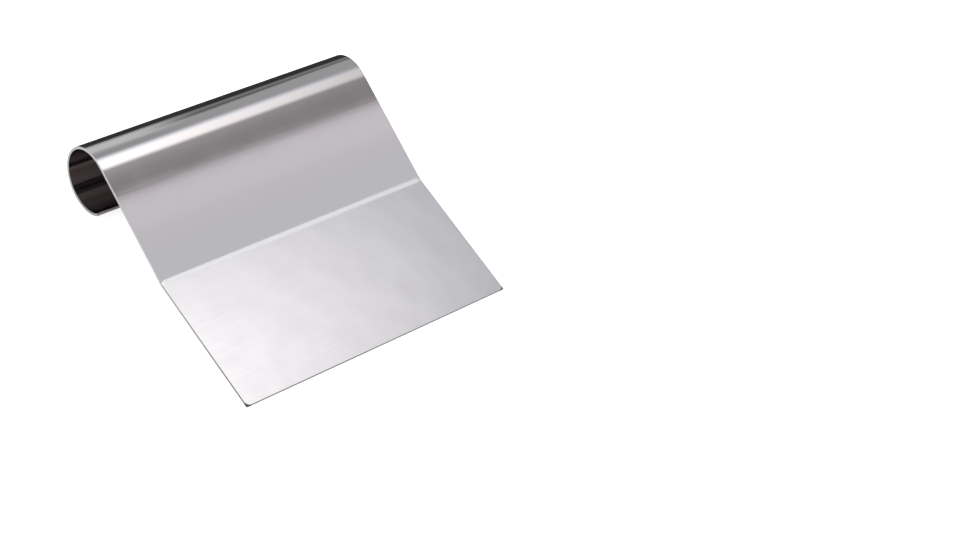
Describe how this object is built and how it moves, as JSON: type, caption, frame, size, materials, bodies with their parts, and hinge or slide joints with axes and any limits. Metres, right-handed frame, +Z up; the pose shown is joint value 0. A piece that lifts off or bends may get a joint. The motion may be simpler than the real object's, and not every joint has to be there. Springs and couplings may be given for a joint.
{
  "type": "bench scraper",
  "caption": "Bench scraper formed from stainless sheet: a flat square-cut blade, a shallow crease and a handle rolled from the same sheet, open along its underside.",
  "frame": {"origin": "middle of the footprint, on the bench that the scraper rests on: the lower corner of the cutting edge and the underside of the roll both touch height zero", "axes": "+X along the roll and the cutting edge, +Y from the cutting edge towards the roll, +Z up from the bench"},
  "size_m": [0.12, 0.115, 0.026],
  "materials": {
    "bright_stainless": "bright cold-rolled stainless, smooth and softly reflective, with a very fine grain along the roll and plain cut edges"
  },
  "bodies": {
    "root": {"scraper_sheet": "bright_stainless"}
  },
  "joints": []
}
